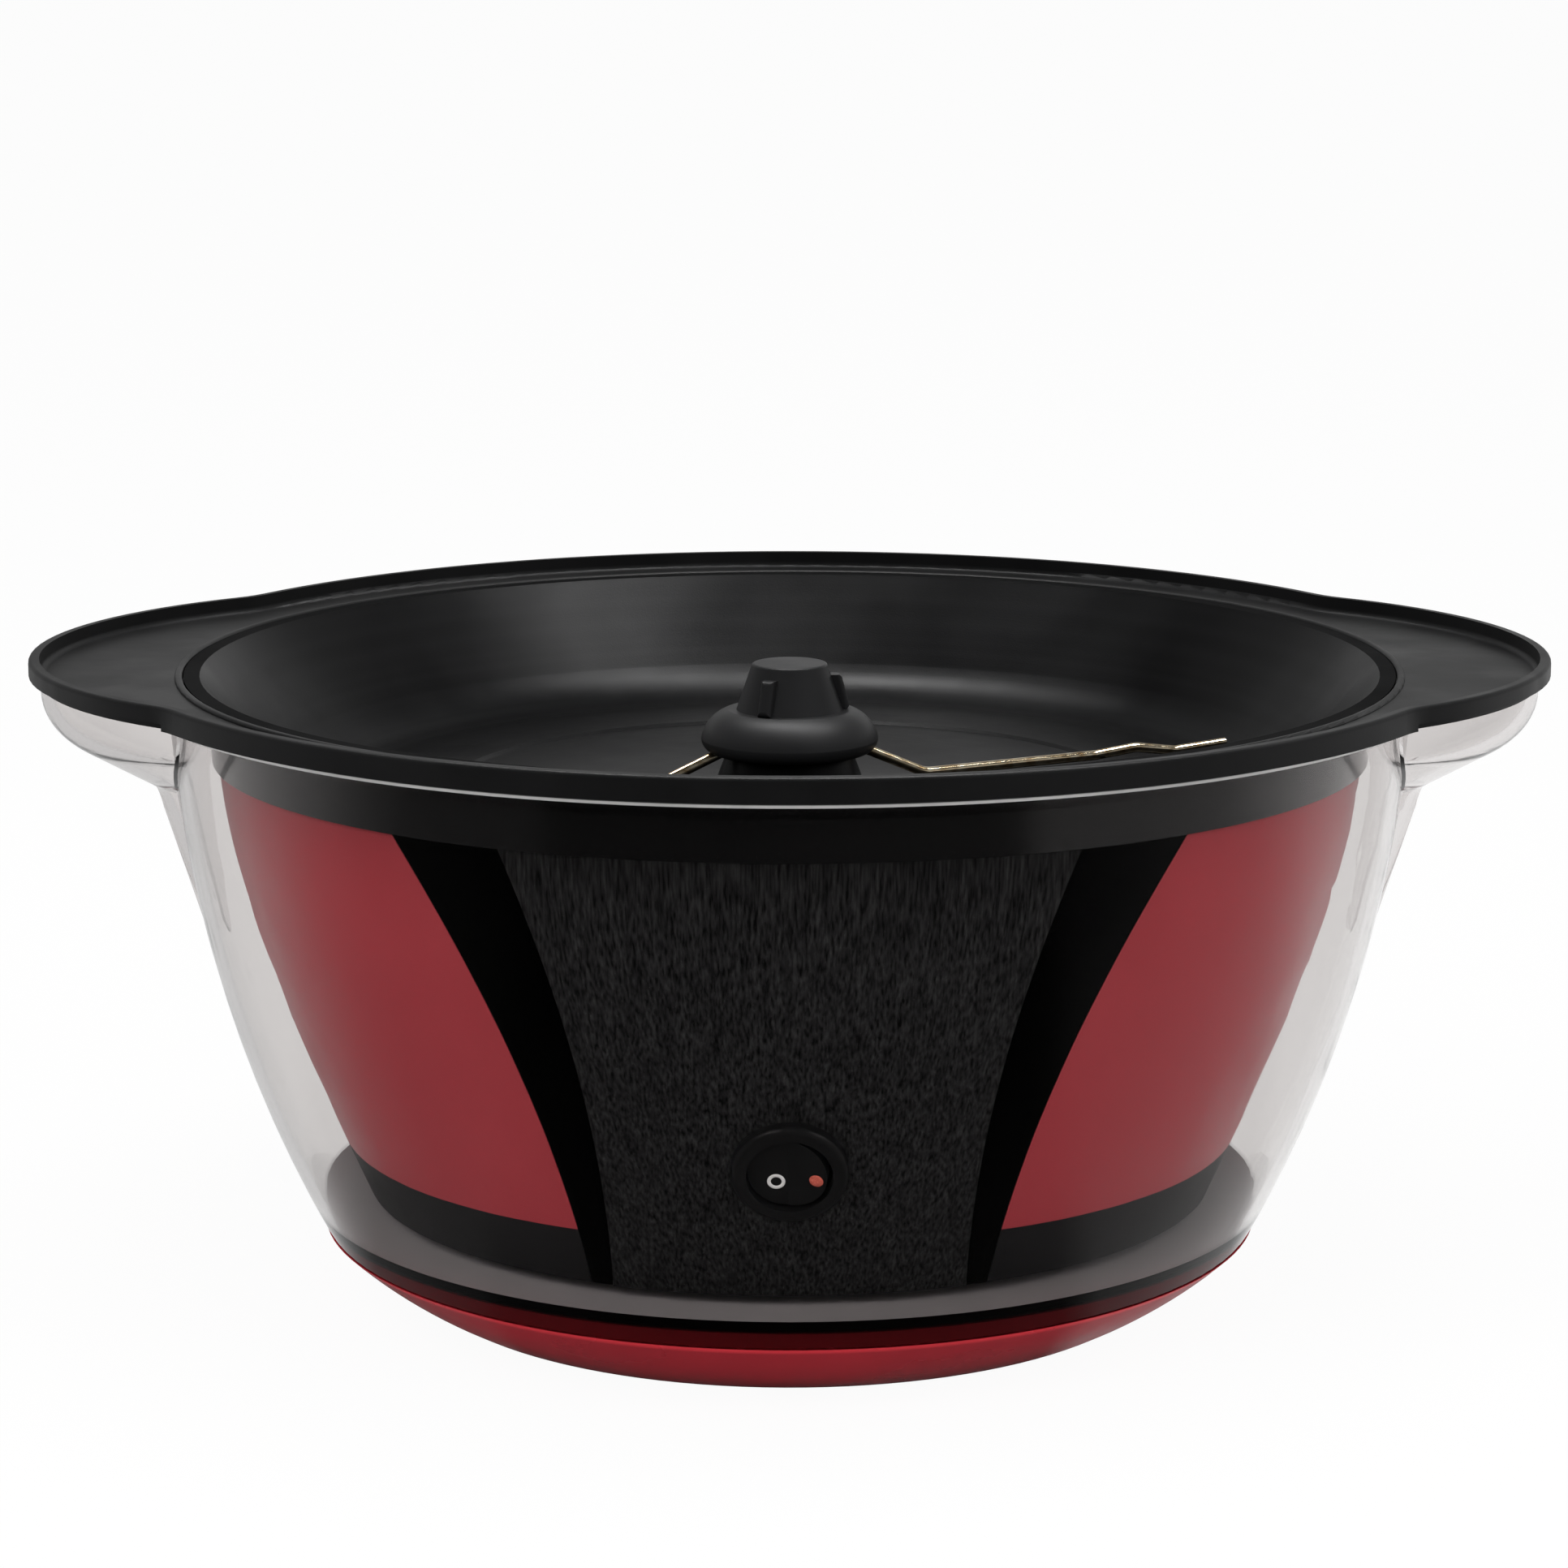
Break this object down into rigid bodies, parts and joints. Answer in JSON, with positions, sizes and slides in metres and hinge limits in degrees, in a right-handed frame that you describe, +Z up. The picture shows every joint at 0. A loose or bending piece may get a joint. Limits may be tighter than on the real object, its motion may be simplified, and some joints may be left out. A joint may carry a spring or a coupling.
{
  "type": "popcorn maker",
  "caption": "Stirring popcorn maker stowed in its clear serving bowl: round non-stick pan with a wire stir rod, tray ears, brushed front panel with a rocker switch, red snap cap below.",
  "frame": {"origin": "on the table under the middle of the cap's base", "axes": "+Z up, -Y out of the front panel, X along the line through both ears"},
  "size_m": [0.34, 0.301, 0.145],
  "materials": {
    "clear_plastic": "clear, gloss",
    "red_plastic": "gloss",
    "red_paint": "gloss",
    "black_plastic": "satin",
    "gloss_black": "gloss",
    "brushed_black": "brushed",
    "nonstick": "satin non-stick coating",
    "steel": "plain",
    "wire_steel": "polished wire",
    "sheet": "plain sheet",
    "sheath": "heat-dulled",
    "brass": "plain",
    "rubber": "matt",
    "nylon": "moulded",
    "copper_winding": "taped coil",
    "phenolic": "moulded",
    "lead_cover": "sleeved"
  },
  "bodies": {
    "bowl": {"serving_bowl": "clear_plastic", "bowl_handle_right": "clear_plastic", "bowl_handle_left": "clear_plastic"},
    "cap": {"bowl_cap": "red_plastic"},
    "drive": {"drive_shaft": "steel", "output_gear": "nylon"},
    "stirrer": {"stir_hub": "black_plastic", "stir_arm_right": "wire_steel", "stir_arm_left": "wire_steel"},
    "knob": {"stir_knob": "black_plastic"},
    "idler": {"idler_gear": "nylon"},
    "rotor": {"motor_rotor": "sheath"},
    "rocker": {"rocker": "black_plastic"},
    "base": {"top_rim": "black_plastic", "popping_pan": "nonstick", "neck_band": "gloss_black", "side_shell": "red_paint", "base_skirt": "black_plastic", "control_panel": "brushed_black", "panel_trim_left": "gloss_black", "panel_trim_right": "gloss_black", "bottom_cover": "black_plastic", "tie_screws": "steel", "heating_element": "sheath", "element_clamps": "sheet", "clamp_screws": "steel", "heat_shield": "sheet", "thermostat": "phenolic", "thermal_fuse": "phenolic", "shaft_bushing": "brass", "shaft_seal": "rubber", "idler_axle": "steel", "gearbox_case": "nylon", "gearbox_lid": "nylon", "gearbox_screws": "steel", "motor_can": "sheet", "motor_coil": "copper_winding", "motor_screws": "steel", "switch_bezel": "black_plastic", "switch_body": "black_plastic", "switch_terminals": "brass", "inlet_housing": "phenolic", "inlet_pins": "brass", "foot_front_left": "rubber", "foot_front_right": "rubber", "foot_back_left": "rubber", "foot_back_right": "rubber", "lead_live": "lead_cover", "lead_switched": "lead_cover", "lead_neutral": "lead_cover"}
  },
  "joints": [
    {"name": "base_lift", "type": "slide", "parent": "bowl", "child": "base", "axis": [0, 0, 1], "range_m": [0, 0.15]},
    {"name": "cap_pull", "type": "slide", "parent": "bowl", "child": "cap", "axis": [0, 0, -1], "range_m": [0, 0.05]},
    {"name": "stir_spin", "type": "hinge", "parent": "base", "child": "drive", "pos_m": [0, 0, 0.1], "axis": [0, 0, 1], "continuous": true},
    {"name": "rod_lift", "type": "slide", "parent": "drive", "child": "stirrer", "axis": [0, 0, 1], "range_m": [0, 0.04]},
    {"name": "knob_lift", "type": "slide", "parent": "stirrer", "child": "knob", "axis": [0, 0, 1], "range_m": [0, 0.03]},
    {"name": "idler_spin", "type": "hinge", "parent": "base", "child": "idler", "pos_m": [0, 0.024, 0.085], "axis": [0, 0, 1], "continuous": true},
    {"name": "rotor_spin", "type": "hinge", "parent": "base", "child": "rotor", "pos_m": [0.02078, 0.012, 0.065], "axis": [0, 0, 1], "continuous": true},
    {"name": "rocker_tip", "type": "hinge", "parent": "base", "child": "rocker", "pos_m": [0, -0.10854, 0.05615], "axis": [0, -0.3684, 0.9297], "range_deg": [0, 16]}
  ],
  "couplings": [
    {"joint": "idler_spin", "follows": "stir_spin", "ratio": -4},
    {"joint": "rotor_spin", "follows": "stir_spin", "ratio": 16}
  ]
}
